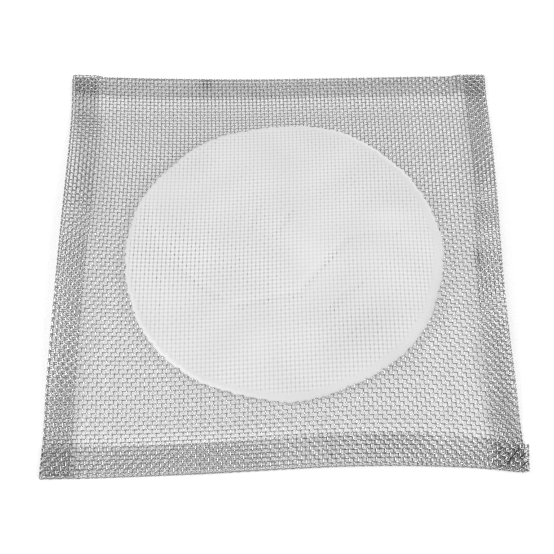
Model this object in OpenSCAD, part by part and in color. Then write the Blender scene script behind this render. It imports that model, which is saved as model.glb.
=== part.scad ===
// Wire gauze for a laboratory burner: one square of plain-woven steel wire cloth with its four
// edges folded over as hems, and a ceramic fibre disc pressed through the middle of the cloth.
// The gauze lies as it comes to rest: the front and back hems are flat on the bench and the
// middle stands up in a shallow arch. +Z is up, the front edge faces -Y, and the origin is the
// middle of the footprint at bench level. Millimetres.

/* [Sheet] */
// Side of the hemmed square
side = 150; // [130:5:170]
// Diameter of the wire; the cloth is two wires thick
wire_d = 0.36; // [0.3:0.02:0.5]
// Rise of the middle above the bench
arch_rise = 5; // [3:0.5:7]
// Radius of the bend where the flat hems turn up into the arch
toe_r = 60; // [40:5:80]

/* [Hems] */
// Depth of the left hem
hem_left = 9.1; // [8:0.1:10]
// Depth of the right hem at its front end
hem_right_front = 10.2; // [9:0.1:11]
// Depth of the right hem at its back end
hem_right_back = 7.6; // [7:0.1:8.5]
// Depth of the front hem
hem_front = 10.3; // [9:0.1:11]
// Depth of the back hem
hem_back = 8.2; // [7:0.1:10]
// How far the middle of the front edge is drawn in
bow_front = 1.6; // [0.8:0.1:2.4]
// How far the middle of the back edge is drawn in
bow_back = 2.2; // [0.8:0.1:2.4]
// How far the folded front hem sticks out past the right edge
tab = 1.4; // [0.4:0.1:2]
// Thickness of a hem over its ribs: two layers that spring a little apart
hem_t = 1.64; // [1.5:0.02:1.8]
// Height of the ribs that the folded wires make on the hems
rib_rise = 0.6; // [0.4:0.05:0.8]
// Width of a rib
rib_w = 2.4; // [2:0.1:3]
// Ribs on a hem for each opening of the field
ribs_per_cell = 2; // [1:1:2]

/* [Ceramic centre] */
// Diameter of the ceramic disc
disc_d = 105.2; // [90:0.2:110]
// Thickness of the ceramic disc
disc_t = 1.4; // [1.2:0.1:2]
// Distance of the disc's centre to the right of the sheet's centre
disc_right = 1.4; // [0:0.1:3]

/* [Weave] */
// Openings along each side of the field
cells = 13; // [9:1:13]
// Width of the strands between the openings
strand_w = 2.2; // [2:0.1:3]

/* [Hidden] */

half = side / 2;
cloth_t = 2 * wire_d;                 // one layer of cloth, crown to crown
core_t = cloth_t / 2;                 // the wall that the crowns stand on
core_z = (cloth_t - core_t) / 2;
sheet_x = -tab / 2;                   // centres the footprint, tab included
tall = 20;                            // height of a prism that cuts right through the sheet

// The arch: a flat land, a toe that turns up and a crown that turns over, each tangent to the next.
land = 10.5;
toe_steps = 3;
crown_steps = 8;
arch_half = half - land;
arch_a = 2 * atan(arch_rise / arch_half);
crown_y = arch_half - toe_r * sin(arch_a);
crown_r = crown_y / sin(arch_a);

function arch_z(y) =
    abs(y) >= arch_half ? 0
    : abs(y) >= crown_y ? toe_r - sqrt(pow(toe_r, 2) - pow(arch_half - abs(y), 2))
    : arch_rise - crown_r + sqrt(pow(crown_r, 2) - y * y);
function arch_tilt(y) =
    abs(y) >= arch_half ? 0
    : -sign(y) * (abs(y) >= crown_y ? asin((arch_half - abs(y)) / toe_r) : asin(abs(y) / crown_r));
arch_back = concat([for (k = [0 : crown_steps]) crown_r * sin(arch_a * k / crown_steps)],
                   [for (k = [1 : toe_steps]) arch_half - toe_r * sin(arch_a * (1 - k / toe_steps))]);
arch_ys = concat([-half], [for (k = [len(arch_back) - 1 : -1 : 1]) -arch_back[k]],
                 arch_back, [half]);

// A band of the sheet from x0 to x1, between the heights h0 and h1 above its underside.
module band(x0, x1, h0, h1) {
    n = len(arch_ys);
    translate([x0, 0, 0]) rotate([90, 0, 90]) linear_extrude(x1 - x0)
        polygon(concat([for (y = arch_ys) [y, arch_z(y) + h0]],
                       [for (k = [n - 1 : -1 : 0]) [arch_ys[k], arch_z(arch_ys[k]) + h1]]));
}

// Puts a small piece on the sheet at x, y, tilted as the arch is there.
module on_sheet(x, y) {
    translate([x, y, arch_z(y)]) rotate([arch_tilt(y), 0, 0]) children();
}

// The front and back edges are arcs. b is how far the middle of the arc is drawn in.
edge_steps = 10;
function bow_r(b) = (half * half + b * b) / (2 * b);
function bow_y(x, b) = b - bow_r(b) + sqrt(pow(bow_r(b), 2) - x * x);
function edge_points(b, in, x0, x1) =
    [for (k = [0 : edge_steps])
        let (x = x0 + (x1 - x0) * k / edge_steps)
        [x, bow_y(x, b) + in - half]];

// A fold's round nose, as steps of growing height: how far each stands back from the fold.
nose_steps = 3;
function nose_height(k, height) = height * k / nose_steps;
function nose_in(k, height) = height / 2 * (1 - sqrt(1 - pow((k - 0.5) / nose_steps, 2)));

// The sheet's outline with its front and back edges moved in.
module outline(in) {
    translate([sheet_x, 0])
        polygon(concat(edge_points(bow_front, in, -half, half),
                       [for (p = edge_points(bow_back, in, -half, half)) [-p[0], -p[1]]]));
}

// The field between the hems, and the grid of strands and openings in it.
margin = 0.8;
field_x0 = sheet_x - half + hem_left + margin;
field_x1 = sheet_x + half - hem_right_front - margin;
field_y0 = -half + bow_front + hem_front + margin;
field_y1 = half - bow_back - hem_back - margin;
pitch_x = (field_x1 - field_x0 + strand_w) / cells;
pitch_y = (field_y1 - field_y0 + strand_w) / cells;
function strand_x(i) = field_x0 + i * pitch_x - strand_w / 2;
function strand_y(j) = field_y0 + j * pitch_y - strand_w / 2;

disc_x = sheet_x + disc_right;
disc_r = disc_d / 2;
rim_wall = 1;                         // whole cloth left round the disc
function from_disc(x, y) = norm([x - disc_x, y]);
function open_cell(i, j) =
    from_disc(strand_x(i + 0.5), strand_y(j + 0.5)) > disc_r - rim_wall;
function key_cell(i, j) =
    i % 2 == 1 && j % 2 == 1
    && from_disc(strand_x(i + 0.5), strand_y(j + 0.5)) < disc_r - pitch_x;

module opening(i, j) {
    translate([strand_x(i) + strand_w / 2, strand_y(j) + strand_w / 2])
        square([pitch_x - strand_w, pitch_y - strand_w]);
}

module openings() {
    difference() {
        for (i = [0 : cells - 1], j = [0 : cells - 1])
            if (open_cell(i, j)) opening(i, j);
        translate([disc_x, 0]) circle(disc_r + rim_wall, $fn = 120);
    }
    for (i = [0 : cells - 1], j = [0 : cells - 1])
        if (key_cell(i, j)) opening(i, j);
}

// A bar centred on the origin, along Y or along X, between the heights h0 and h1.
module bar(along_y, width, length, h0, h1) {
    size = along_y ? [width, length] : [length, width];
    translate([-size[0] / 2, -size[1] / 2, h0]) cube([size[0], size[1], h1 - h0]);
}

// Plain weave: at each crossing one strand's crown shows on top and the other's underneath.
crown_w = strand_w - 0.4;
crown_l = 0.82 * pitch_x;
module crowns() {
    for (i = [1 : cells - 1], j = [1 : cells - 1])
        if (from_disc(strand_x(i), strand_y(j)) > disc_r)
            on_sheet(strand_x(i), strand_y(j)) {
                warp_on_top = (i + j) % 2 == 0;
                bar(warp_on_top, crown_w, crown_l, cloth_t / 2, cloth_t);
                bar(!warp_on_top, crown_w, crown_l, 0, cloth_t / 2);
            }
}

// A hem is a roll along its fold, at full height, and a lower floor with ribs across it.
roll = 1.4;                           // how far the roll reaches in from the fold
rib_end = 0.4;                        // the ribs stop this far short of the cut edge
floor_t = hem_t - rib_rise;

// The side hems are folded first and follow the arch. The right one tapers towards the back.
module side_roll(x, inwards) {
    for (k = [1 : nose_steps]) {
        h0 = (hem_t - nose_height(k, hem_t)) / 2;
        a = x + inwards * nose_in(k, hem_t);
        b = x + inwards * roll;
        band(min(a, b), max(a, b), h0, hem_t - h0);
    }
}

module side_hems() {
    left = sheet_x - half;
    right = sheet_x + half;
    intersection() {
        union() {
            side_roll(left, 1);
            side_roll(right, -1);
            band(left + hem_t / 2, left + hem_left, 0, floor_t);
            band(right - hem_right_front, right - hem_t / 2, 0, floor_t);
        }
        translate([0, 0, -tall / 2]) linear_extrude(tall)
            difference() {
                outline(hem_t);
                translate([right, 0])
                    polygon([[-hem_right_front - 1, -half], [-hem_right_front, -half],
                             [-hem_right_back, half], [-hem_right_front - 1, half]]);
            }
    }
}

// A length of hem along the front edge: from x0 to x1, its top at the height of top.
module edge_roll(b, x0, x1, z0, top, set_in) {
    height = top - z0;
    for (k = [1 : nose_steps])
        translate([sheet_x, 0, z0 + (height - nose_height(k, height)) / 2])
            linear_extrude(nose_height(k, height))
                polygon(concat(edge_points(b, set_in + nose_in(k, height), x0, x1),
                               edge_points(b, set_in + roll, x1, x0)));
}

module edge_floor(b, depth, x0, x1, z0, top, set_in) {
    translate([sheet_x, 0, z0])
        linear_extrude(top - rib_rise - z0)
            polygon(concat(edge_points(b, set_in + roll / 2, x0, x1),
                           edge_points(b, depth, x1, x0)));
}

// The front and back hems are folded last, over the side hems: two layers, and four at the corners.
corner_set_in = 0.3;                  // the corners' upper layers stand back a little
corner_t = 4 * cloth_t;
module end_hem(b, depth, right_tab, side_l, side_r) {
    flat_x = half - corner_set_in;
    edge_roll(b, -flat_x, flat_x, 0, hem_t, 0);
    edge_floor(b, depth, -flat_x, flat_x, 0, hem_t, 0);
    for (span = [[-half, -half + side_l], [half - side_r, half + right_tab]]) {
        edge_roll(b, span[0], span[1], cloth_t, corner_t, corner_set_in);
        edge_floor(b, depth - corner_set_in, span[0], span[1], cloth_t, corner_t, corner_set_in);
    }
}

// The wires turn over in the folds, and show as ribs across the hems.
rib_count = cells * ribs_per_cell;
function rib_x(n) = strand_x(n / ribs_per_cell);
function rib_y(n) = strand_y(n / ribs_per_cell);
module hem_rib(x, y, along_y, depth) {
    on_sheet(x, y) bar(along_y, rib_w, depth - roll / 2 - rib_end, cloth_t, hem_t);
}

module hem_ribs() {
    for (n = [1 : rib_count - 1]) {
        x = rib_x(n);
        front_y = bow_y(x - sheet_x, bow_front) - half + hem_front / 2;
        back_y = half - bow_y(x - sheet_x, bow_back) - hem_back / 2;
        hem_rib(x, front_y + (roll / 2 - rib_end) / 2, true, hem_front);
        hem_rib(x, back_y - (roll / 2 - rib_end) / 2, true, hem_back);
    }
    for (n = [1 : rib_count - 1]) {
        left_x = sheet_x - half + hem_left / 2;
        right_x = sheet_x + half - hem_right_back / 2;
        hem_rib(left_x + (roll / 2 - rib_end) / 2, rib_y(n), false, hem_left);
        hem_rib(right_x - (roll / 2 - rib_end) / 2, rib_y(n), false, hem_right_back);
    }
}

// Two ribs cross each corner's upper layers.
module corner_ribs(b, depth, side_l, side_r) {
    for (x = [-half + side_l * 0.25, -half + side_l * 0.8, half - side_r * 0.8, half - side_r * 0.2])
        translate([sheet_x + x, bow_y(x, b) - half + corner_set_in + (roll / 2 + depth - rib_end) / 2, 0])
            bar(true, rib_w, depth - corner_set_in - roll / 2 - rib_end, 2 * cloth_t, corner_t);
}

module field() {
    intersection() {
        band(sheet_x - half + cloth_t, sheet_x + half - cloth_t, core_z, core_z + core_t);
        translate([0, 0, -tall / 2]) linear_extrude(tall)
            difference() {
                outline(3 * cloth_t);
                openings();
            }
    }
    crowns();
}

module cloth_solid() {
    field();
    side_hems();
    end_hem(bow_front, hem_front, tab, hem_left, hem_right_front);
    mirror([0, 1, 0]) end_hem(bow_back, hem_back, 0, hem_left, hem_right_back);
    hem_ribs();
    corner_ribs(bow_front, hem_front, hem_left, hem_right_front);
    mirror([0, 1, 0]) corner_ribs(bow_back, hem_back, hem_left, hem_right_back);
}

module wire_cloth() {
    color([0.62, 0.62, 0.62]) cloth_solid();
}

module ceramic_centre() {
    color([0.93, 0.93, 0.92])
        difference() {
            intersection() {
                band(disc_x - disc_r - 1, disc_x + disc_r + 1,
                     (cloth_t - disc_t) / 2, (cloth_t + disc_t) / 2);
                translate([disc_x, 0, -tall / 2]) cylinder(h = tall, r = disc_r, $fn = 120);
            }
            cloth_solid();
        }
}

wire_cloth();
ceramic_centre();
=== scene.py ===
"""Wire gauze with a ceramic centre: the looks of the part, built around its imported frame."""

from functools import partial
from math import cos, pi, radians, sin

import bpy
import numpy as np
from bpy.props import (
    FloatProperty,
    FloatVectorProperty,
    IntProperty,
    PointerProperty,
)
from mathutils import Matrix, Vector


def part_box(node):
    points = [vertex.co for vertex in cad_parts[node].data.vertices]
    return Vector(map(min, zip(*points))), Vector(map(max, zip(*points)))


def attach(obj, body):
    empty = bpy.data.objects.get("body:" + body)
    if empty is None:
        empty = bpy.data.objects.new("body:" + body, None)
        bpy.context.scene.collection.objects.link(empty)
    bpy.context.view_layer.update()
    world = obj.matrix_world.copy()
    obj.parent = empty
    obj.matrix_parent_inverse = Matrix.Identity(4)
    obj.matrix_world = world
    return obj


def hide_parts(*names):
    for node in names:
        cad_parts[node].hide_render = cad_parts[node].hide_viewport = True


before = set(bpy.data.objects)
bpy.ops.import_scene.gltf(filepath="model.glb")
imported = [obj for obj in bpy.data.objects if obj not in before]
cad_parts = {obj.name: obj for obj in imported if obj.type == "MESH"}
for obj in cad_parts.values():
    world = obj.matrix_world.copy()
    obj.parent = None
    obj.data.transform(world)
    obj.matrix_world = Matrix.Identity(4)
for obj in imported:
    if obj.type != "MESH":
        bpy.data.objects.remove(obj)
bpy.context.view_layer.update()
CLOTH_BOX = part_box("wire_cloth")
CERAMIC_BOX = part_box("ceramic_centre")

bl_info = {
    "name": "Wire Gauze",
    "version": (1, 0, 0),
    "blender": (4, 5, 0),
    "location": "View3D > Sidebar > Wire Gauze",
    "description": "Woven wire gauze with folded hems and a ceramic centre",
    "category": "Object",
}

MM = 0.001

# The cloth's solid is as wide as the sheet and the tab at its right edge. The ceramic's solid is a
# little wider than the ceramic, and stands a little further right. The frame's sizes are in single
# precision, so they are rounded to a hundredth of a millimetre.
TAB = 0.0014
SIDE = round(CLOTH_BOX[1][0] - CLOTH_BOX[0][0] - TAB, 5)
SHEET_X = round(CLOTH_BOX[0][0] + SIDE / 2, 5)
CERAMIC_RADIUS = round((CERAMIC_BOX[1][0] - CERAMIC_BOX[0][0]) / 2 - 0.0001, 5)
CERAMIC_X = round((CERAMIC_BOX[1][0] + CERAMIC_BOX[0][0]) / 2 - 0.0004, 5)


# ---------------------------------------------------------------- settings


class ClothSettings(bpy.types.PropertyGroup):
    """The woven wire cloth"""

    half: FloatProperty(
        name="Half side",
        description="From the middle of the sheet to a folded edge",
        default=SIDE / 2,
        unit="LENGTH",
    )
    middle_x: FloatProperty(
        name="Middle",
        description="Where the middle of the sheet lies along X",
        default=SHEET_X,
        unit="LENGTH",
    )
    wire: FloatProperty(
        name="Wire",
        description="Diameter of the wire",
        default=0.00036,
        unit="LENGTH",
    )
    pitch_x: FloatProperty(
        name="Pitch across",
        description="From one long wire to the next",
        default=0.0013636,
        unit="LENGTH",
        precision=5,
    )
    pitch_y: FloatProperty(
        name="Pitch along",
        description="From one cross wire to the next",
        default=0.0013812,
        unit="LENGTH",
        precision=5,
    )
    crimp_long: FloatProperty(
        name="Crimp of long wires",
        description="How far a wire that runs front to back rises over its neighbours",
        default=0.00020,
        unit="LENGTH",
        precision=5,
    )
    crimp_cross: FloatProperty(
        name="Crimp of cross wires",
        description="How far a wire that runs left to right rises over its neighbours",
        default=0.00016,
        unit="LENGTH",
        precision=5,
    )
    arch: FloatProperty(
        name="Arch",
        description="Rise of the sheet halfway from front to back",
        default=0.005,
        unit="LENGTH",
    )
    fold: FloatProperty(
        name="Fold radius",
        description="Radius of a hem's fold at the middle of the cloth",
        default=0.0005,
        unit="LENGTH",
        precision=5,
    )
    corner_fold: FloatProperty(
        name="Corner fold radius",
        description="Radius of the fold over a side hem, where four layers meet",
        default=0.00100,
        unit="LENGTH",
        precision=5,
    )
    hem_left: FloatProperty(
        name="Left hem", description="Width of the left hem", default=0.0091, unit="LENGTH"
    )
    hem_right: FloatProperty(
        name="Right hem",
        description="Width of the right hem at its middle",
        default=0.0089,
        unit="LENGTH",
    )
    hem_front: FloatProperty(
        name="Front hem", description="Width of the front hem", default=0.0103, unit="LENGTH"
    )
    hem_back: FloatProperty(
        name="Back hem", description="Width of the back hem", default=0.0082, unit="LENGTH"
    )
    tab: FloatProperty(
        name="Tab",
        description="How far the front hem's end stands out past the right edge",
        default=TAB,
        unit="LENGTH",
    )
    colour: FloatVectorProperty(
        name="Wire colour",
        description="Colour of the bare steel wire",
        subtype="COLOR",
        size=3,
        default=(0.60, 0.60, 0.60),
        min=0,
        max=1,
    )


class CeramicSettings(bpy.types.PropertyGroup):
    """The ceramic centre"""

    middle_x: FloatProperty(
        name="Middle", description="Its middle along X", default=CERAMIC_X, unit="LENGTH"
    )
    radius: FloatProperty(
        name="Radius",
        description="Radius of the ceramic disc",
        default=CERAMIC_RADIUS,
        unit="LENGTH",
    )
    grain: IntProperty(
        name="Steps to a wire", description="Mesh steps from one wire to the next", default=3, min=2
    )
    colour: FloatVectorProperty(
        name="Ceramic colour",
        description="Colour of the ceramic where no wire shows",
        subtype="COLOR",
        size=3,
        default=(0.70, 0.70, 0.70),
        min=0,
        max=1,
    )


class StageSettings(bpy.types.PropertyGroup):
    """Camera, lamps and floor"""

    azimuth: FloatProperty(
        name="Azimuth",
        description="How far the camera stands round to the right of straight in front",
        default=radians(-0.41),
        subtype="ANGLE",
    )
    elevation: FloatProperty(
        name="Elevation",
        description="How steeply the camera looks down",
        default=radians(63.67),
        subtype="ANGLE",
    )
    roll: FloatProperty(
        name="Roll",
        description="Turn of the camera about its own line of sight",
        default=radians(-0.28),
        subtype="ANGLE",
    )
    distance: FloatProperty(
        name="Distance",
        description="From the camera to the middle of the gauze",
        default=0.38528,
        unit="LENGTH",
    )
    aside: FloatProperty(
        name="Aside",
        description="Camera's offset to its own right",
        default=-0.00126,
        unit="LENGTH",
    )
    above: FloatProperty(
        name="Above",
        description="Camera's offset towards the top of its view",
        default=-0.00612,
        unit="LENGTH",
    )
    lens: FloatProperty(
        name="Lens",
        description="Focal length in millimetres",
        default=74.42,
        min=10,
        unit="CAMERA",
    )
    box: FloatProperty(
        name="Softbox",
        description="Side of each lamp's square softbox",
        default=0.34,
        unit="LENGTH",
    )
    box_distance: FloatProperty(
        name="Lamp distance",
        description="From each lamp to the gauze",
        default=0.8,
        unit="LENGTH",
    )
    left_power: FloatProperty(
        name="Left lamp",
        description="Power in watts",
        default=2.55,
        min=0,
        unit="POWER",
    )
    right_power: FloatProperty(
        name="Right lamp",
        description="Power in watts",
        default=2.3,
        min=0,
        unit="POWER",
    )
    back_power: FloatProperty(
        name="Back lamp",
        description="Power in watts",
        default=1.25,
        min=0,
        unit="POWER",
    )
    sky: FloatProperty(
        name="Sky",
        description="Strength of the even light from all round",
        default=0.48,
        min=0,
    )
    floor_glow: FloatProperty(
        name="Floor glow",
        description="Strength of the white that the camera sees in the floor",
        default=1.36,
        min=0,
    )
    glow_share: FloatProperty(
        name="Glow share",
        description="How much of the floor's brightness under the sheet is that glow",
        default=0.25,
        min=0,
        max=1,
        subtype="FACTOR",
    )


# ---------------------------------------------------------------- helpers


def cloth():
    return bpy.context.scene.gauze_cloth


def ceramic():
    return bpy.context.scene.gauze_ceramic


def deselect():
    if bpy.context.object and bpy.context.object.mode != "OBJECT":
        bpy.ops.object.mode_set(mode="OBJECT")
    bpy.ops.object.select_all(action="DESELECT")


def only(obj):
    deselect()
    obj.select_set(True)
    bpy.context.view_layer.objects.active = obj


def points(mesh):
    co = np.empty(len(mesh.vertices) * 3, np.float32)
    mesh.vertices.foreach_get("co", co)
    return co.reshape(-1, 3).astype(float)


def set_points(mesh, co):
    mesh.vertices.foreach_set("co", co.astype(np.float32).ravel())
    mesh.update()


def store(mesh, name, values):
    """Keeps one number for each vertex, for the materials to read."""
    layer = mesh.attributes.new(name, "FLOAT", "POINT")
    layer.data.foreach_set("value", values.astype(np.float32))


def ramp(x, low, high):
    """0 below low, 1 above high, and smooth between."""
    t = np.clip((x - low) / (high - low), 0, 1)
    return t * t * (3 - 2 * t)


# ---------------------------------------------------------------- how the cloth lies
# All in millimetres.

LEAN = 0.0165  # how far the right fold moves out across the wires, for each millimetre to the back
LAND = 10.5  # width of the strip at the front and the back that lies flat
TOE = 60.0  # radius of the bend from there up into the arch
FLAP_REACH = 9  # a flap sinks towards the cloth over this length past its fold


def wave(x, height, length, start):
    """A slow wave along x."""
    return height * np.sin(2 * pi * x / length + start)


def half_waves(t, count):
    """So many half waves as t goes from -1 to 1."""
    return np.sin(count * pi * (t + 1) / 2)


def unevenness(u, v):
    """The wires stand a little closer in some places than in others."""
    du = wave(u, 0.10, 33.8, 0.6) + wave(u, 0.05, 71, 2)
    dv = wave(v, 0.17, 36.5, 1.1) + wave(v, 0.07, 83, 4)
    return u + du, v + dv


def sway(x, y, half):
    """The finished sheet is not square: its edges bow and its rows sway."""
    a, b = np.clip(x / half, -1.1, 1.1), np.clip(y / half, -1.1, 1.1)
    # the side edges are drawn in halfway along, and the front and back edges more so
    dx = (0.1 - a - 0.4 * a * a) * half_waves(b, 1)
    dx += (-0.4 + 0.1 * a - 0.1 * a * a) * half_waves(b, 2)
    dx += 0.2 * half_waves(b, 3)
    dx += 0.15 * a * b
    dy = (0.4 - 1.65 * b - 0.1 * b * b) * half_waves(a, 1)
    dy += (-1.65 + 0.2 * b + 0.9 * b * b) * half_waves(a, 2)
    dy -= 0.6 * a * b + 0.4 * a + 0.4 * b**4 * (1 - a)
    # the left edge stands out towards the front, and again at its very corner
    dx -= 0.5 * ramp(-b, 0.15, 0.6) * ramp(-a, 0.5, 1) + 0.3 * ramp(-b, 0.85, 1) * ramp(-a, 0.8, 1)
    # the front right corner is drawn forward
    dy -= 0.8 * ramp(a, 0.75, 1) * ramp(-b, 0.6, 1)
    return x + dx, y + dy


def turn(s, z, line, radius):
    """Folds what lies past line over the top.

    Returns the new distance and height, how far it is turned over, from 0 to 1, and the length that
    lies flat again past the fold.
    """
    past = s - line
    angle = np.clip(past / radius, 0, pi)
    flat = np.maximum(past - pi * radius, 0)
    out = np.where(past <= 0, s, line + (radius - z) * np.sin(angle) - flat)
    up = np.where(past <= 0, z, radius - (radius - z) * np.cos(angle))
    return out, up, (1 - np.cos(angle)) / 2, flat


def arch_height(y, rise, flat_from, toe):
    """Height and slope of the sheet's arch at y."""
    tilt = 2 * np.arctan(rise / flat_from)
    crown_y = flat_from - toe * np.sin(tilt)
    crown_r = crown_y / np.sin(tilt)
    w = np.abs(y)
    inner = np.minimum(w, crown_y)
    outer = np.clip(flat_from - w, 0, toe)
    in_toe = w >= crown_y
    toe_drop = np.sqrt(toe**2 - outer**2)
    crown_drop = np.sqrt(crown_r**2 - inner**2)
    z = np.where(in_toe, toe - toe_drop, rise - crown_r + crown_drop)
    slope = np.where(in_toe, outer / toe_drop, inner / crown_drop)
    return z, -np.sign(y) * slope


def side_slides(v):
    """How far the left and right flaps slid in, and along, as they were folded."""
    left_in = 0.5 + 0.45 * ramp(v, -50, -34) - 0.95 * ramp(v, -12, 34)
    left_along = 0.35 + 0.45 * ramp(-v, 40, 62) + 0.34 * ramp(v, 16, 34)
    right_in = 0.1 - 0.3 * ramp(-v, 34, 46) - 0.45 * ramp(v, 5, 22)
    right_along = 0.08 + 0.5 * ramp(-v, 48, 63)
    return left_in, left_along, right_in, right_along


def end_slides(x):
    """The same for the front and back flaps."""
    front_in = 0.5 * ramp(-x, 24, 40)
    front_along = 0.34 * ramp(-x, 24, 40)
    back_in = -0.62 + 0.62 * ramp(x, -40, 12) + 0.35 * ramp(x, 12, 34)
    back_along = 0.34 * ramp(-x, 27, 62)
    return front_in, front_along, back_in, back_along


def crown_height():
    """From the cloth's middle plane to the top of its highest wires."""
    c = cloth()
    return c.wire / MM / 2 + max(c.crimp_long, c.crimp_cross) / MM


def fold_sides(u, v, h):
    """Folds the left and right hems over the top. Returns across, along and height."""
    c = cloth()
    half, radius = c.half / MM, c.fold / MM
    line = half - crown_height() - radius
    # the right hem is folded along a line that is not quite true to the wires
    fold_right = line + LEAN * v + 0.25 * np.sin(v / 17)
    x = u - (fold_right - line) * ramp(u, 0.2 * half, half)
    # the left one wanders a little
    x = x + 0.18 * np.sin(v / 23 + 1) * ramp(-u, 0.5 * half, half)
    right, right_up, right_over, right_flat = turn(x, h, line, radius)
    left, left_up, left_over, left_flat = turn(-x, h, line, radius)
    z = np.where(x > 0, right_up, left_up)
    flat = np.where(x > 0, right_flat, left_flat)
    x = np.where(x > 0, right, -left)
    # the flaps sink a little towards their cut edges, and are wavy
    z = z - 0.012 * flat * np.sin(0.21 * v) - 0.012 * np.minimum(flat, FLAP_REACH)
    # each flap slides a little along its fold, and in or out
    left_in, left_along, right_in, right_along = side_slides(v)
    x = x + left_over * left_in - right_over * right_in
    v = v + 2 * LEAN * right_flat + left_over * left_along + right_over * right_along
    return x, v, z


def fold_ends(x, v, z):
    """Folds the front and back hems over the top. Returns across, along and height."""
    c = cloth()
    half = c.half / MM
    # the fold is wider where it goes over a side hem
    stack = ramp(x, 61.5, 65.5) + ramp(-x, 62.5, 66.0)
    single, double = c.fold / MM, c.corner_fold / MM
    radius = single + (double - single) * np.clip(stack, 0, 1)
    line = half - crown_height() - radius
    # both folds wander a little
    front_drift = 0.30 * np.sin(x / 21 + 0.4) * ramp(-v, 0.5 * half, half)
    back_drift = 0.2 * np.sin(x / 27) * ramp(v, 0.5 * half, half)
    v = v - front_drift - back_drift
    back, back_up, back_over, back_flat = turn(v, z, line, radius)
    front, front_up, front_over, front_flat = turn(-v, z, line, radius)
    y = np.where(v > 0, back, -front)
    z = np.where(v > 0, back_up, front_up)
    flat = np.where(v > 0, back_flat, front_flat)
    z = z - 0.014 * np.minimum(flat, FLAP_REACH) * (1 + 0.5 * np.sin(x / 9))
    # the tab: the front flap stands out at the right, most of all at its cut edge
    x = x + c.tab / MM * ramp(x, 20, half) * front_over * (0.45 + 0.55 * ramp(front_flat, 0, 8))
    # each flap slides a little along its fold, and in or out
    front_in, front_along, back_in, back_along = end_slides(x)
    y = y + front_over * front_in - back_over * back_in
    fan = 0.022 * front_flat * np.sin(x / 30 + 0.5)
    x = x + fan - 0.02 * back_flat + front_over * front_along + back_over * back_along
    return x, y, z


def lay(u, v, h):
    """From the flat blank, in millimetres, to the folded, arched sheet in metres."""
    c = cloth()
    half = c.half / MM
    u, v = unevenness(u, v)
    x, v, z = fold_sides(u, v, h)
    x, y, z = fold_ends(x, v, z)
    x, y = sway(x, y, half)
    z = z + crown_height()
    rise, slope = arch_height(y, c.arch / MM, half - LAND, TOE)
    length = np.sqrt(1 + slope**2)
    return np.stack([x + c.middle_x / MM, y - z * slope / length, rise + z / length], -1) * MM


# ---------------------------------------------------------------- wires

BANDS = 3  # rings of faces along each half wave of a wire
SIDES = 6
SHARES = 3  # pieces that the wires of one direction are split into, for their size
SEED = 11
END_DRAWS, END_ZERO = 400, 100  # how many ends are drawn, and which is the middle wire's
BEND_DRAWS, BEND_ZERO = 2000, 500  # the same for how the wires bend
# The rest is in millimetres.
EXTRA = 1.4  # how much wider the blank was cut along part of its left edge
EDGE_GAP = 0.3  # at least this far from a cut edge to the wire beside it
LEFT_GAP = 0.4  # the same at the left edge
END_SPREAD = (0.15, 0.75)  # a cut end stands out by a draw from these limits, less END_MIDDLE
END_MIDDLE = 0.45
HIDDEN_RIM = 2.0  # the wires end this far inside the ceramic's edge
WIRE_BEND = 0.03  # how far a wire strays to either side


def blank_limits():
    """The cut edges of the flat blank, in millimetres: left, right, front, back."""
    c = cloth()
    half = c.half / MM
    nose = crown_height() + c.fold / MM
    spare = half - 2 * nose + pi * c.fold / MM
    return (
        -(spare + c.hem_left / MM + EXTRA),
        spare + c.hem_right / MM,
        -(spare + c.hem_front / MM),
        spare + c.hem_back / MM,
    )


def repeat(obj, count, offset):
    """Lays count copies in a row, and joins those that meet."""
    only(obj)
    array = obj.modifiers.new("Repeat", "ARRAY")
    array.use_relative_offset = False
    array.use_constant_offset = True
    array.constant_offset_displace = offset
    array.count = count
    array.use_merge_vertices = True
    array.merge_threshold = 0.00001
    bpy.ops.object.modifier_apply(modifier=array.name)


def crimped_pair(name, pitch, spacing, crimp, radius, waves, start, first):
    """Two neighbouring wires along X, one a half wave behind the other, open at their ends."""
    deselect()
    bpy.ops.mesh.primitive_circle_add(
        vertices=SIDES, radius=radius, fill_type="NOTHING",
        location=(start, first, crimp), rotation=(0, pi / 2, 0),
    )
    wire = bpy.context.object
    wire.name = name
    bpy.ops.object.transform_apply(location=True, rotation=True, scale=True)
    bpy.ops.object.mode_set(mode="EDIT")
    bpy.ops.mesh.select_all(action="SELECT")
    for n in range(2 * BANDS):
        rise = crimp * (cos(pi * (n + 1) / BANDS) - cos(pi * n / BANDS))
        bpy.ops.mesh.extrude_region_move(TRANSFORM_OT_translate={"value": (pitch / BANDS, 0, rise)})
    bpy.ops.object.mode_set(mode="OBJECT")
    repeat(wire, waves, (2 * pitch, 0, 0))
    only(wire)
    bpy.ops.object.duplicate_move(TRANSFORM_OT_translate={"value": (-pitch, spacing, 0)})
    second = bpy.context.object
    wire.select_set(True)
    second.select_set(True)
    bpy.context.view_layer.objects.active = wire
    bpy.ops.object.join()
    return wire


def cut_away(obj, unwanted):
    """Deletes the faces that unwanted, a function of their middles, names."""
    only(obj)
    mesh = obj.data
    middles = np.empty(len(mesh.polygons) * 3, np.float32)
    mesh.polygons.foreach_get("center", middles)
    chosen = unwanted(middles.reshape(-1, 3).astype(float))
    bpy.ops.object.mode_set(mode="EDIT")
    bpy.ops.mesh.select_mode(type="FACE")
    bpy.ops.mesh.select_all(action="DESELECT")
    bpy.ops.object.mode_set(mode="OBJECT")
    mesh.polygons.foreach_set("select", chosen)
    mesh.update()
    bpy.ops.object.mode_set(mode="EDIT")
    bpy.ops.mesh.delete(type="FACE")
    bpy.ops.mesh.select_mode(type="VERT")
    bpy.ops.object.mode_set(mode="OBJECT")


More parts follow.
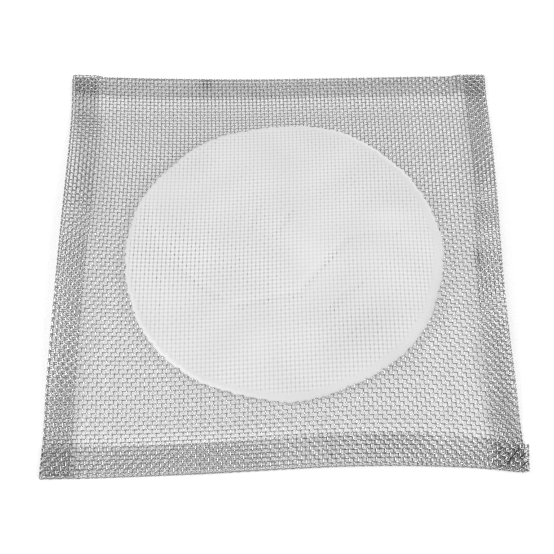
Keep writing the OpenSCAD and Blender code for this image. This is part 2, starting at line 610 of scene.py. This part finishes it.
def close_ends(obj):
    only(obj)
    bpy.ops.object.mode_set(mode="EDIT")
    bpy.ops.mesh.select_all(action="SELECT")
    bpy.ops.mesh.fill_holes(sides=SIDES)
    bpy.ops.mesh.select_all(action="SELECT")
    bpy.ops.mesh.normals_make_consistent(inside=False)
    bpy.ops.object.mode_set(mode="OBJECT")


def finish_wires(obj, angle, material):
    only(obj)
    bpy.ops.object.shade_smooth_by_angle(angle=radians(angle))
    obj.data.materials.append(material)


def dirt(place):
    """How smudged the cloth is: most in the back hem, and less halfway along the right one."""
    x, y = place[:, 0], place[:, 1]
    back = np.exp(-(((x + 26.5) / 2.2) ** 2) - ((y - 71) / 2.8) ** 2)
    right = np.exp(-(((x - 64.5) / 1.6) ** 2) - ((y + 4) / 4.0) ** 2)
    return np.clip(1.5 * back + right, 0, 1.4)


def corner_shade_and_dark_hem(place):
    """Painted shade in the front corners, where four layers stack, and darker wires along the front
    half of the right hem.
    """
    x, y = place[:, 0], place[:, 1]
    corners = ramp(-y, 60, 66) * (1.2 * ramp(-x, 60, 66) + 0.5 * ramp(x, 58, 66))
    return corners + 0.4 * ramp(x, 62, 67) * ramp(-y, -5, 20)


def wires(name, lengthwise, share, material):
    """One share of the wires that run front to back, if lengthwise, or else left to right."""
    c = cloth()
    left, right, front, back = blank_limits()
    if lengthwise:
        near, far, begin, end = left, right, front, back
        pitch, spacing, crimp = c.pitch_y / MM, c.pitch_x / MM, c.crimp_long / MM
    else:
        near, far, begin, end = front, back, left, right
        pitch, spacing, crimp = c.pitch_x / MM, c.pitch_y / MM, c.crimp_cross / MM
    # wires and crossings are numbered from the middle of the blank
    first = int(np.ceil((near + EDGE_GAP) / spacing))
    last = int(np.floor((far - EDGE_GAP) / spacing))
    pairs = (last - first + 2) // 2
    limits = np.linspace(0, pairs, SHARES + 1).round().astype(int)
    count = limits[share + 1] - limits[share]
    first = first + 2 * limits[share]
    first_crossing = 2 * int(np.floor(begin / pitch / 2)) - 2
    waves = int((end - begin) / pitch / 2) + 5
    # long wires are over at even crossings and cross wires at odd ones
    over = (first + first_crossing) % 2 == (0 if lengthwise else 1)
    start = first_crossing * pitch - (0 if over else pitch)
    obj = crimped_pair(
        name, pitch * MM, spacing * MM, crimp * MM, c.wire / 2, waves, start * MM, first * spacing * MM
    )
    repeat(obj, count, (0, 2 * spacing * MM, 0))
    rng = np.random.RandomState(SEED + share + (5 if lengthwise else 0))
    ends = rng.uniform(*END_SPREAD, (2, END_DRAWS))
    ceramic_u = ceramic().middle_x / MM - c.middle_x / MM
    hidden = ceramic().radius / MM - HIDDEN_RIM

    def unwanted(middles):
        along, side = middles[:, 0] / MM, middles[:, 1] / MM
        number = np.clip(np.round(side / spacing).astype(int) + END_ZERO, 0, END_DRAWS - 1)
        u, v = (side, along) if lengthwise else (along, side)
        more = EXTRA * (1 - ramp(v, 4, 12) + ramp(v, 52, 58))
        cut = begin if lengthwise else begin + more
        out = along < cut - ends[0, number] + END_MIDDLE
        out |= along > end + ends[1, number] - END_MIDDLE
        out |= side > far
        if lengthwise:
            out |= side < left + more - LEFT_GAP
        return out | ((u - ceramic_u) ** 2 + v**2 < hidden**2)

    cut_away(obj, unwanted)
    close_ends(obj)
    co = points(obj.data) / MM
    number = np.round(co[:, 1] / spacing)
    bend = rng.uniform(-1, 1, BEND_DRAWS)[(number + BEND_ZERO).astype(int)]
    co[:, 1] += WIRE_BEND * bend * np.sin(co[:, 0] / 13 + 3 * bend)
    u, v = (co[:, 1], co[:, 0]) if lengthwise else (co[:, 0], co[:, 1])
    laid = lay(u, v, co[:, 2])
    # dirt, the painted shade in the front corners and the darkening along the right hem make the wires
    # darker
    dirt_and_shade = 2.2 * dirt(laid / MM) + 0.9 * corner_shade_and_dark_hem(laid / MM)
    store(obj.data, "wire_tone_dirt_and_shade", 0.5 + 0.5 * bend - dirt_and_shade)
    set_points(obj.data, laid)
    if lengthwise:
        obj.data.flip_normals()
    finish_wires(obj, 70, material)
    return obj


# The loose wire ends: where the middle of each lies and its length, in millimetres, and its slant.
STRAYS = (
    (69.8, -70.6, 7.1, 0.88),
    (72.8, -70.4, 2.5, 0.7),
    (73.1, -73.1, 2.9, 0.7),
)
STRAY_BOW = 0.15  # how far its middle bows aside, in millimetres
STRAY_CLEAR = 4.5  # how much further in its height is taken, clear of the side fold
STRAY_TONE = -6.0  # far darker than any other wire


def stray_end(name, x, y, length, slant, material):
    """A loose end of wire, far darker than the rest, that lies aslant on the front right corner."""
    c = cloth()
    deselect()
    bpy.ops.mesh.primitive_cylinder_add(
        vertices=2 * SIDES, radius=c.wire / 2, depth=length * MM, rotation=(0, pi / 2, 0)
    )
    obj = bpy.context.object
    obj.name = name
    bpy.ops.object.transform_apply(location=True, rotation=True, scale=True)
    # it is cut into short lengths, so that it can bow
    bpy.ops.object.mode_set(mode="EDIT")
    for share in (-0.36, -0.22, -0.08, 0.08, 0.22, 0.36):
        bpy.ops.mesh.select_all(action="SELECT")
        bpy.ops.mesh.bisect(plane_co=(share * length * MM, 0, 0), plane_no=(1, 0, 0))
    bpy.ops.object.mode_set(mode="OBJECT")
    co = points(obj.data) / MM
    aside = co[:, 1] + STRAY_BOW * (1 - (2 * co[:, 0] / length) ** 2)
    px = x + co[:, 0] * np.cos(slant) - aside * np.sin(slant)
    py = y + co[:, 0] * np.sin(slant) + aside * np.cos(slant)
    # the flap is folded over, so its upper side is the blank's underside
    h = -(c.wire + max(c.crimp_long, c.crimp_cross)) / MM - co[:, 2]
    # each round brings the place on the blank nearer to the one that lies at px, py
    u, v = px - STRAY_CLEAR, -(2 * c.half / MM + py)
    for _ in range(12):
        there = lay(u, v, h) / MM
        u, v = u + px - STRAY_CLEAR - there[:, 0], v - (py - there[:, 1])
    laid = lay(u, v, h)
    laid[:, 0] += STRAY_CLEAR * MM
    set_points(obj.data, laid)
    store(obj.data, "wire_tone_dirt_and_shade", np.full(len(co), STRAY_TONE))
    finish_wires(obj, 50, material)
    return obj


# ---------------------------------------------------------------- ceramic

SHOULDER = 1.1  # how far in from the edge the rim's rounding starts, in millimetres
# The rings of the rim: distance in from the edge in millimetres, and share of the height.
RIM_RINGS = ((0.55, 0.88), (0.16, 0.52), (0.0, 0.0))
# Creases in the ceramic: from, to, how far the middle bows to the left of that line, all in
# millimetres, and strength.
CREASES = (
    ((7, -14), (22, 4), 0.3, 1.0),
    ((22, 4), (38, 6), 0.8, 0.5),
    ((-14, -20), (6, -16), 0.3, 1.0),
    ((-34, -7), (-21, -17), -0.5, 0.9),
    ((-46, 18), (-43, 3), -1.0, 0.6),
    ((-42, -9), (-41, -24), 1.0, 0.5),
    ((-10.5, 9), (-8.5, 15), 0.0, 0.8),
    ((-1, 8), (3, 14), 0.0, 0.9),
    ((15, -22), (25, -13), 0.5, 0.6),
)
# Patches of the ceramic: middle, half width and half depth, in millimetres, how much paler it is
# there, and how much more of the wires shows.
PATCHES = (
    (33, 28, 11, 12, -0.035, 0.15),
    (25, -27, 13, 9, -0.045, 0.40),
    (-37, 0, 16, 15, 0.000, 0.75),
    (-8, -3, 9, 17, -0.010, 0.25),
    (9, -1, 6, 15, 0.035, -0.35),
    (37, 13, 9, 3, 0.035, -0.20),
    (-8, -34, 4, 8, 0.030, -0.10),
    (9, -30, 3, 5, 0.020, 0.00),
    (-42, 26, 7, 7, 0.000, -0.40),
    (-29, 34, 5, 7, -0.030, 0.20),
)
PALER, MORE_WIRE = 4, 5  # places in a row of PATCHES


def blank_place(x, y):
    """The place on the flat blank, in millimetres, that lies at x, y on the finished sheet."""
    u, v = x - cloth().middle_x / MM, y.copy()
    # each round brings it nearer
    for _ in range(6):
        there = lay(u, v, np.zeros_like(u)) / MM
        u, v = u + x - there[:, 0], v + y - there[:, 1]
    return u, v


def lumps(x, y):
    """Slow unevenness of the ceramic, from -1 to 1."""
    return (
        np.sin(x / 5.3 + 1.3 * np.sin(y / 7.1)) * np.sin(y / 4.7 + 1.1 * np.sin(x / 6.3 + 2))
        + 0.6 * np.sin(x / 2.1 + y / 2.9 + np.sin(y / 3.7)) * np.sin(y / 2.3 - x / 3.1)
    ) / 1.6


def creases(x, y, beside=0.0):
    """1 along a crease, or along a line beside it, and 0 away from it."""
    depth = np.zeros_like(x)
    for (x0, y0), (x1, y1), bow, strength in CREASES:
        length = np.hypot(x1 - x0, y1 - y0)
        along = ((x - x0) * (x1 - x0) + (y - y0) * (y1 - y0)) / length
        aside = ((y - y0) * (x1 - x0) - (x - x0) * (y1 - y0)) / length
        t = np.clip(along / length, 0, 1)
        aside = aside - bow * 4 * t * (1 - t) - beside
        beyond = along - t * length
        depth = np.maximum(depth, strength * np.exp(-((aside / 1.0) ** 2 + (beyond / 2.0) ** 2)))
    return depth


def patches(x, y, column):
    """One column of PATCHES, spread softly about the middle of each patch."""
    total = np.zeros_like(x)
    for patch in PATCHES:
        middle_x, middle_y, half_width, half_depth = patch[:4]
        away = -(((x - middle_x) / half_width) ** 2) - ((y - middle_y) / half_depth) ** 2
        total += patch[column] * np.exp(away)
    return total


def worn(x, y):
    """How much of the wires shows through the ceramic, from 0 to about 1."""
    slow_x, slow_y = 1.7 * np.sin(y / 13.0), 1.4 * np.sin(x / 11.0)
    slow = 0.5 + 0.5 * np.sin(x / 9.1 + slow_x + 0.8) * np.sin(y / 7.7 + slow_y)
    quick_x, quick_y = 2.1 * np.sin(y / 3.9), 1.9 * np.sin(x / 4.3)
    quick = 0.5 + 0.5 * np.sin(x / 2.7 + quick_x) * np.sin(y / 2.2 + quick_y)
    amount = 0.16 + 0.30 * slow * (0.3 + 0.7 * quick) + 1.1 * creases(x, y) * quick
    return np.clip(amount + patches(x, y, MORE_WIRE), 0, 1.1)


def ceramic_tone_and_painted_light(x, y, away, bearing, radius):
    """Brightness of the ceramic beside its plain colour: its patches, painted shade and highlight at
    the creases, and painted highlight and shade at the rim.
    """
    slow = np.sin(x / 6.1 + 1.5 * np.sin(y / 8.0)) * np.sin(y / 5.3 + 1.2 * np.sin(x / 7.0) + 1)
    tone = 1 + patches(x, y, PALER) + 0.024 * slow
    # painted shade along each crease, and a painted highlight on a line beside it
    tone = tone - 0.03 * creases(x, y) + 0.022 * creases(x, y, 2.2)
    # painted highlight: the rim is paler towards the back right and the front left; painted shade: a
    # thin band inside it is greyer at the right
    lit = (0.5 + 0.5 * np.cos(2 * bearing - pi / 2)) ** 2
    right_shade = ramp(away, radius - 2.2, radius - 0.6) * ramp(np.cos(bearing), 0.6, 0.95)
    return tone + (0.21 * lit - 0.01) * ramp(away, radius - 1.5, radius - 0.7) - 0.055 * right_shade


def edge_wander(bearing):
    """How far the disc's edge lies outside a circle, in millimetres."""
    # it is not quite round, and its edge is a little lumpy
    out = 0.6 * np.sin(2 * bearing + 1) - 0.5 * np.sin(3 * bearing) + 0.2 * np.sin(4 * bearing - 2.3)
    out += 0.2 * np.sin(5 * bearing + 2) + 0.3 * np.sin(7 * bearing - 0.3)
    out += 0.15 * np.sin(9 * bearing + 2) + 0.1 * np.sin(12 * bearing + 1)
    out += 0.1 * np.sin(23 * bearing) + 0.1 * np.sin(57 * bearing + 2)
    # it is ragged mesh by mesh
    coarse = 0.16 * np.sin(99 * bearing + 3 * np.sin(5 * bearing))
    fine = 0.12 * np.sin(163 * bearing + 4 * np.sin(3 * bearing))
    return out + (coarse + fine)


def weave_height(u, v):
    """Top of the woven wires over their middle plane, in millimetres."""
    c = cloth()
    r = c.wire / MM / 2
    a, b = np.cos(pi * u / (c.pitch_x / MM)), np.cos(pi * v / (c.pitch_y / MM))
    long_top = c.crimp_long / MM * a * b + r * (2 * a * a - 1)
    cross_top = -c.crimp_cross / MM * a * b + r * (2 * b * b - 1)
    return np.maximum(long_top, cross_top)


def to_circle(obj, middle, radius, level):
    """Moves the selected vertices straight out or in to a circle, all in millimetres."""
    bpy.ops.object.mode_set(mode="OBJECT")
    mesh = obj.data
    chosen = np.empty(len(mesh.vertices), bool)
    mesh.vertices.foreach_get("select", chosen)
    co = points(mesh) / MM
    x, y = co[chosen, 0] - middle, co[chosen, 1]
    away = np.hypot(x, y)
    co[chosen] = np.stack([x * radius / away + middle, y * radius / away, np.full(len(x), level)], -1)
    set_points(mesh, co * MM)
    bpy.ops.object.mode_set(mode="EDIT")


def plain_disc(name):
    """A closed disc of fine mesh, with its heights as shares: 1 on top, -1 below, 0 at the edge."""
    s = ceramic()
    radius, middle = s.radius / MM, s.middle_x / MM
    shoulder = radius - SHOULDER
    steps = int(round(2 * radius / (cloth().pitch_x / MM) * s.grain))
    deselect()
    bpy.ops.mesh.primitive_grid_add(
        x_subdivisions=steps, y_subdivisions=steps, size=2 * s.radius, location=(s.middle_x, 0, MM)
    )
    obj = bpy.context.object
    obj.name = name
    bpy.ops.object.transform_apply(location=True, rotation=True, scale=True)
    cut_away(obj, lambda m: np.hypot(m[:, 0] / MM - middle, m[:, 1] / MM) > shoulder)
    only(obj)
    # the stepped border goes onto the circle, and the rim is drawn out from it
    bpy.ops.object.mode_set(mode="EDIT")
    bpy.ops.mesh.select_mode(type="VERT")
    bpy.ops.mesh.select_all(action="DESELECT")
    bpy.ops.mesh.select_non_manifold()
    to_circle(obj, middle, shoulder, 1.0)
    for inset, level in RIM_RINGS:
        bpy.ops.mesh.extrude_region_move(TRANSFORM_OT_translate={"value": (0, 0, 0)})
        to_circle(obj, middle, radius - inset, level)
    bpy.ops.object.mode_set(mode="OBJECT")
    # the underside is a turned-over copy, joined on round the rim
    bpy.ops.object.duplicate()
    under = bpy.context.object
    co = points(under.data)
    co[:, 2] *= -1
    set_points(under.data, co)
    under.data.flip_normals()
    obj.select_set(True)
    bpy.context.view_layer.objects.active = obj
    bpy.ops.object.join()
    bpy.ops.object.mode_set(mode="EDIT")
    bpy.ops.mesh.select_all(action="SELECT")
    bpy.ops.mesh.remove_doubles(threshold=0.000002)
    bpy.ops.mesh.normals_make_consistent(inside=False)
    bpy.ops.object.mode_set(mode="OBJECT")
    return obj


def ceramic_coat(name):
    """The ceramic, laid over the weave, which shows through it."""
    c = cloth()
    radius, middle = ceramic().radius / MM, ceramic().middle_x / MM
    obj = plain_disc(name)
    mesh = obj.data
    co = points(mesh) / MM
    x, y, level = co[:, 0] - middle, co[:, 1], co[:, 2]
    away, bearing = np.hypot(x, y), np.arctan2(y, x)
    grow = 1 + edge_wander(bearing) / radius * ramp(away, radius - 9, radius - 1.2)
    x, y = x * grow + middle, y * grow
    u, v = blank_place(x, y)
    top = level > 0
    weave = np.where(top, weave_height(u, v), weave_height(u + c.pitch_x / MM, v))
    # a band round the rim is smooth, wider to the right and the front
    band = 2.3 + 0.9 * np.cos(bearing) - 0.6 * np.sin(bearing)
    inner = 1 - ramp(away, radius - band - 0.8, radius - band + 0.8)
    creased = creases(x, y) * inner
    shown = worn(x, y)
    face = 0.36 + (0.10 + 0.14 * shown) * weave * inner + 0.15 * (1 - inner)
    face = face + 0.05 * lumps(x, y) - 0.08 * creased
    set_points(mesh, lay(u, v, level * face))
    # the map counts wires, so that the finish follows the weave
    wire_count = np.stack([u / (c.pitch_x / MM), v / (c.pitch_y / MM)], -1)
    corner = np.empty(len(mesh.loops), np.int32)
    mesh.loops.foreach_get("vertex_index", corner)
    layer = mesh.uv_layers.new(name="wire_count")
    layer.data.foreach_set("uv", wire_count[corner].astype(np.float32).ravel())
    store(mesh, "worn", shown * inner * top)
    # the ceramic's patches, with the painted shade and highlights of its creases and rim
    store(mesh, "pale_and_painted_light", ceramic_tone_and_painted_light(x, y, away, bearing, radius))
    store(mesh, "inner", inner)
    only(obj)
    bpy.ops.object.shade_smooth()
    return obj


# ---------------------------------------------------------------- materials

WIRE_DULLEST, WIRE_BRIGHTEST = 0.10, 1.18  # shares of the wire's plain colour
WIRE_LEVEL = 0.634  # where between them a wire of tone 0 lies
WIRE_TONE = 0.143  # how much a wire's tone, with its dirt and painted shade, moves it
WIRE_GRAIN = 0.22  # how much the fine grain moves it
BARE_WIRE = (0.13, 0.13, 0.13, 1)  # colour of a wire's crown that shows through the ceramic
GRAIN_SIZE = 900  # scale of the fine grain on wire and ceramic
FLOOR_BLEND = 1.5 * MM  # half the width of the strip in which the floor's glow grows
FLOOR_MORE = 0.13  # how much more of the floor's brightness is glow beyond the sheet


def new_material(name):
    material = bpy.data.materials.new(name)
    material.use_nodes = True
    tree = material.node_tree
    tree.nodes.clear()
    out = tree.nodes.new("ShaderNodeOutputMaterial")
    return material, tree, out


def add(tree, kind, **values):
    """A node with these values of its sockets or of its own settings."""
    node = tree.nodes.new(kind)
    for key, value in values.items():
        if key in node.inputs:
            node.inputs[key].default_value = value
        else:
            setattr(node, key, value)
    return node


def maths(tree, operation, *values, clamp=False):
    """A Math node's result. Each value is a number or another node's output."""
    node = add(tree, "ShaderNodeMath", operation=operation, use_clamp=clamp)
    for socket, value in zip(node.inputs, values):
        if isinstance(value, (int, float)):
            socket.default_value = value
        else:
            tree.links.new(value, socket)
    return node.outputs[0]


def attribute(tree, name):
    return add(tree, "ShaderNodeAttribute", attribute_name=name).outputs["Fac"]


def wire_material():
    """Drawn steel with a fine grain, a little different from wire to wire."""
    colour = cloth().colour
    material, tree, out = new_material("gauze_wire")
    link = tree.links.new
    shader = add(tree, "ShaderNodeBsdfPrincipled", Metallic=1.0, Roughness=0.3)
    place = add(tree, "ShaderNodeTexCoord")
    grain = add(tree, "ShaderNodeTexNoise", Scale=GRAIN_SIZE, Detail=4)
    link(place.outputs["Object"], grain.inputs["Vector"])
    # a wire's tone holds its random tone, its dirt and the painted shade in the front corners
    level = maths(tree, "MULTIPLY_ADD", attribute(tree, "wire_tone_dirt_and_shade"), WIRE_TONE, WIRE_LEVEL)
    share = maths(tree, "MULTIPLY_ADD", grain.outputs["Fac"], WIRE_GRAIN, level)
    mix = add(tree, "ShaderNodeMix", data_type="RGBA")
    mix.inputs["A"].default_value = (*[x * WIRE_DULLEST for x in colour], 1)
    mix.inputs["B"].default_value = (*[x * WIRE_BRIGHTEST for x in colour], 1)
    link(share, mix.inputs["Factor"])
    link(mix.outputs["Result"], shader.inputs["Base Color"])
    link(shader.outputs[0], out.inputs[0])
    return material


def ceramic_material():
    """Matte ceramic fibre, greyer over the wires, with their crowns showing where it is worn, and with
    painted shade and highlights at its creases and rim.
    """
    material, tree, out = new_material("gauze_ceramic")
    link = tree.links.new
    calc = partial(maths, tree)
    shader = add(tree, "ShaderNodeBsdfPrincipled", Roughness=0.85)
    place = add(tree, "ShaderNodeTexCoord")
    count = add(tree, "ShaderNodeUVMap", uv_map="wire_count")
    split = add(tree, "ShaderNodeSeparateXYZ")
    link(count.outputs[0], split.inputs[0])
    a = calc("COSINE", calc("MULTIPLY", split.outputs[0], pi))
    b = calc("COSINE", calc("MULTIPLY", split.outputs[1], pi))
    over = calc("MULTIPLY", a, b)
    fine = add(tree, "ShaderNodeTexNoise", Scale=GRAIN_SIZE, Detail=2)
    link(place.outputs["Object"], fine.inputs["Vector"])
    speckle = calc("MULTIPLY_ADD", fine.outputs["Fac"], 3.2, -1.0, clamp=True)
    amount = attribute(tree, "worn")
    # the coat is greyer along each wire, most of all along the long ones
    twice = calc("MULTIPLY_ADD", calc("MULTIPLY", a, a), 2.0, -1.0)
    rows = calc("MULTIPLY_ADD", calc("MULTIPLY", b, b), 2.0, -1.0)
    sharp = calc("MULTIPLY_ADD", calc("MULTIPLY", twice, twice), 2.0, -1.0)
    lines = calc("MULTIPLY_ADD", rows, 0.06, calc("MULTIPLY", sharp, 0.035))
    lines = calc("MULTIPLY_ADD", twice, 0.072, lines)
    depth = calc("MULTIPLY", calc("MULTIPLY_ADD", amount, 1.0, 0.63), attribute(tree, "inner"))
    bright = calc("MULTIPLY_ADD", calc("MULTIPLY", lines, depth), -1.0, 1.0)
    # the patches, and the painted shade and highlights at the creases and the rim
    bright = calc("MULTIPLY", bright, attribute(tree, "pale_and_painted_light"))
    coat = add(tree, "ShaderNodeVectorMath", operation="SCALE")
    coat.inputs[0].default_value = ceramic().colour
    link(bright, coat.inputs["Scale"])
    # the wires' crowns show as short dark ticks: the long wires', and fainter the cross wires'
    long_over = calc("MULTIPLY_ADD", over, 2.6, -0.8, clamp=True)
    long_crown = calc("MULTIPLY_ADD", calc("MULTIPLY", a, a), 6.0, -4.6, clamp=True)
    cross_over = calc("MULTIPLY_ADD", over, -2.6, -1.0, clamp=True)
    cross_crown = calc("MULTIPLY_ADD", calc("MULTIPLY", b, b), 7.0, -5.9, clamp=True)
    long_tick = calc("MULTIPLY", long_over, long_crown)
    cross_tick = calc("MULTIPLY", cross_over, cross_crown)
    ticks = calc("MULTIPLY_ADD", cross_tick, 0.4, long_tick, clamp=True)
    bare = calc("MULTIPLY", calc("MULTIPLY", ticks, amount), calc("MULTIPLY", speckle, 0.7))
    mix = add(tree, "ShaderNodeMix", data_type="RGBA")
    link(coat.outputs[0], mix.inputs["A"])
    mix.inputs["B"].default_value = BARE_WIRE
    link(bare, mix.inputs["Factor"])
    link(mix.outputs["Result"], shader.inputs["Base Color"])
    bump = add(tree, "ShaderNodeBump", Strength=0.35, Distance=0.0001)
    link(fine.outputs["Fac"], bump.inputs["Height"])
    link(bump.outputs[0], shader.inputs["Normal"])
    link(shader.outputs[0], out.inputs[0])
    return material


def floor_material():
    """Matte white with a glow that only the camera sees, stronger beyond the sheet."""
    s = bpy.context.scene.gauze_stage
    edge = cloth().half
    material, tree, out = new_material("floor_white")
    link = tree.links.new
    matt = add(tree, "ShaderNodeBsdfDiffuse", Color=(0.9, 0.9, 0.9, 1))
    glow = add(tree, "ShaderNodeEmission", Strength=s.floor_glow)
    both = add(tree, "ShaderNodeMixShader")
    path = add(tree, "ShaderNodeLightPath")
    place = add(tree, "ShaderNodeTexCoord")
    split = add(tree, "ShaderNodeSeparateXYZ")
    link(place.outputs["Object"], split.inputs[0])
    across = maths(tree, "ABSOLUTE", split.outputs[0])
    along = maths(tree, "ABSOLUTE", split.outputs[1])
    beyond = add(tree, "ShaderNodeMapRange", interpolation_type="SMOOTHSTEP")
    link(maths(tree, "MAXIMUM", across, along), beyond.inputs["Value"])
    beyond.inputs["From Min"].default_value = edge - FLOOR_BLEND
    beyond.inputs["From Max"].default_value = edge + FLOOR_BLEND
    beyond.inputs["To Min"].default_value = s.glow_share
    beyond.inputs["To Max"].default_value = s.glow_share + FLOOR_MORE
    share = maths(tree, "MULTIPLY", path.outputs["Is Camera Ray"], beyond.outputs[0])
    link(share, both.inputs["Fac"])
    link(matt.outputs[0], both.inputs[1])
    link(glow.outputs[0], both.inputs[2])
    link(both.outputs[0], out.inputs[0])
    return material


# ---------------------------------------------------------------- stage

FLOOR_SIDE = 6


def studio_camera():
    s = bpy.context.scene.gauze_stage
    data = bpy.data.cameras.new("camera")
    data.lens = s.lens
    data.sensor_width = 36
    data.clip_start = 0.01
    camera = bpy.data.objects.new("camera", data)
    bpy.context.scene.collection.objects.link(camera)
    level = cos(s.elevation)
    back = Vector((sin(s.azimuth) * level, -cos(s.azimuth) * level, sin(s.elevation)))
    right = Vector((cos(s.azimuth), sin(s.azimuth), 0))
    up = back.cross(right)
    axes = Matrix((right, up, back)).transposed().to_4x4()
    place = Vector((cloth().middle_x, 0, 0)) + back * s.distance + right * s.aside + up * s.above
    camera.matrix_world = Matrix.Translation(place) @ axes @ Matrix.Rotation(s.roll, 4, "Z")
    return camera


def studio_world():
    """An even light from all round, which the camera sees as plain white."""
    world = bpy.data.worlds.new("studio")
    world.use_nodes = True
    tree = world.node_tree
    tree.nodes.clear()
    link = tree.links.new
    out = add(tree, "ShaderNodeOutputWorld")
    sky = add(tree, "ShaderNodeBackground", Color=(1, 1, 1, 1))
    sky.inputs["Strength"].default_value = bpy.context.scene.gauze_stage.sky
    plain = add(tree, "ShaderNodeBackground", Color=(1, 1, 1, 1), Strength=1.0)
    mix = add(tree, "ShaderNodeMixShader")
    path = add(tree, "ShaderNodeLightPath")
    link(path.outputs["Is Camera Ray"], mix.inputs["Fac"])
    link(sky.outputs[0], mix.inputs[1])
    link(plain.outputs[0], mix.inputs[2])
    link(mix.outputs[0], out.inputs[0])
    return world


def softbox(name, azimuth, elevation, power):
    """A square lamp that faces the gauze. The azimuth turns from the back towards the left."""
    s = bpy.context.scene.gauze_stage
    lamp = bpy.data.lights.new(name, "AREA")
    lamp.shape = "SQUARE"
    lamp.size = s.box
    lamp.energy = power
    obj = bpy.data.objects.new(name, lamp)
    bpy.context.scene.collection.objects.link(obj)
    level = cos(elevation)
    towards = Vector((-sin(azimuth) * level, cos(azimuth) * level, sin(elevation)))
    facing = towards.to_track_quat("Z", "Y").to_matrix().to_4x4()
    obj.matrix_world = Matrix.Translation(towards * s.box_distance) @ facing


# ---------------------------------------------------------------- pieces


def gauze_wire():
    """The material that all the wires share."""
    return bpy.data.materials.get("gauze_wire") or wire_material()


def finish_piece(obj, node):
    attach(obj, "root")
    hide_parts(node)


class CrossWires(bpy.types.Operator):
    """Weave the wires that run left to right"""

    bl_idname = "gauze.cross_wires"
    bl_label = "Cross Wires"

    def execute(self, context):
        for share, place in enumerate(("front", "middle", "back")):
            obj = wires(f"cross_wires_{place}", False, share, gauze_wire())
            finish_piece(obj, "wire_cloth")
        return {"FINISHED"}


class LongWires(bpy.types.Operator):
    """Weave the wires that run front to back"""

    bl_idname = "gauze.long_wires"
    bl_label = "Long Wires"

    def execute(self, context):
        for share, place in enumerate(("left", "middle", "right")):
            obj = wires(f"long_wires_{place}", True, share, gauze_wire())
            finish_piece(obj, "wire_cloth")
        return {"FINISHED"}


class StrayEnds(bpy.types.Operator):
    """Lay the loose wire ends over the front right corner"""

    bl_idname = "gauze.stray_ends"
    bl_label = "Stray Ends"

    def execute(self, context):
        for number, (x, y, length, slant) in enumerate(STRAYS, 1):
            obj = stray_end(f"stray_end_{number}", x, y, length, slant, gauze_wire())
            finish_piece(obj, "wire_cloth")
        return {"FINISHED"}


class CeramicCentre(bpy.types.Operator):
    """Coat the middle of the cloth with ceramic"""

    bl_idname = "gauze.ceramic_centre"
    bl_label = "Ceramic Centre"

    def execute(self, context):
        obj = ceramic_coat("ceramic_coat")
        obj.data.materials.append(ceramic_material())
        finish_piece(obj, "ceramic_centre")
        return {"FINISHED"}


class Stage(bpy.types.Operator):
    """Set the camera, the lamps and the floor"""

    bl_idname = "gauze.stage"
    bl_label = "Stage"

    def execute(self, context):
        scene = context.scene
        scene.view_settings.view_transform = "Standard"
        # the cloth's pattern is as fine as noise, so it is kept from being smoothed away
        scene.cycles.use_denoising = False
        scene.cycles.filter_width = 1.2
        scene.camera = studio_camera()
        scene.world = studio_world()
        lamps = scene.gauze_stage
        softbox("left_lamp", radians(100), radians(45), lamps.left_power)
        softbox("right_lamp", radians(238), radians(48), lamps.right_power)
        softbox("back_lamp", radians(318), radians(20), lamps.back_power)
        deselect()
        bpy.ops.mesh.primitive_plane_add(size=FLOOR_SIDE, location=(0, 0, 0))
        floor = context.object
        floor.name = "floor"
        floor.data.materials.append(floor_material())
        return {"FINISHED"}


class GauzePanel(bpy.types.Panel):
    """Lists what builds the wire gauze"""

    bl_idname = "GAUZE_PT_build"
    bl_label = "Wire Gauze"
    bl_space_type = "VIEW_3D"
    bl_region_type = "UI"
    bl_category = "Wire Gauze"

    def draw(self, context):
        for operator in PIECES + (Stage,):
            self.layout.operator(operator.bl_idname)


PIECES = (CrossWires, LongWires, StrayEnds, CeramicCentre)
CLASSES = (ClothSettings, CeramicSettings, StageSettings) + PIECES + (Stage, GauzePanel)


def register():
    for item in CLASSES:
        bpy.utils.register_class(item)
    bpy.types.Scene.gauze_cloth = PointerProperty(type=ClothSettings)
    bpy.types.Scene.gauze_ceramic = PointerProperty(type=CeramicSettings)
    bpy.types.Scene.gauze_stage = PointerProperty(type=StageSettings)


def unregister():
    del bpy.types.Scene.gauze_cloth
    del bpy.types.Scene.gauze_ceramic
    del bpy.types.Scene.gauze_stage
    for item in reversed(CLASSES):
        bpy.utils.unregister_class(item)


def main():
    register()
    bpy.ops.gauze.cross_wires()
    bpy.ops.gauze.long_wires()
    bpy.ops.gauze.stray_ends()
    bpy.ops.gauze.ceramic_centre()
    bpy.ops.gauze.stage()


if __name__ == "__main__":
    main()
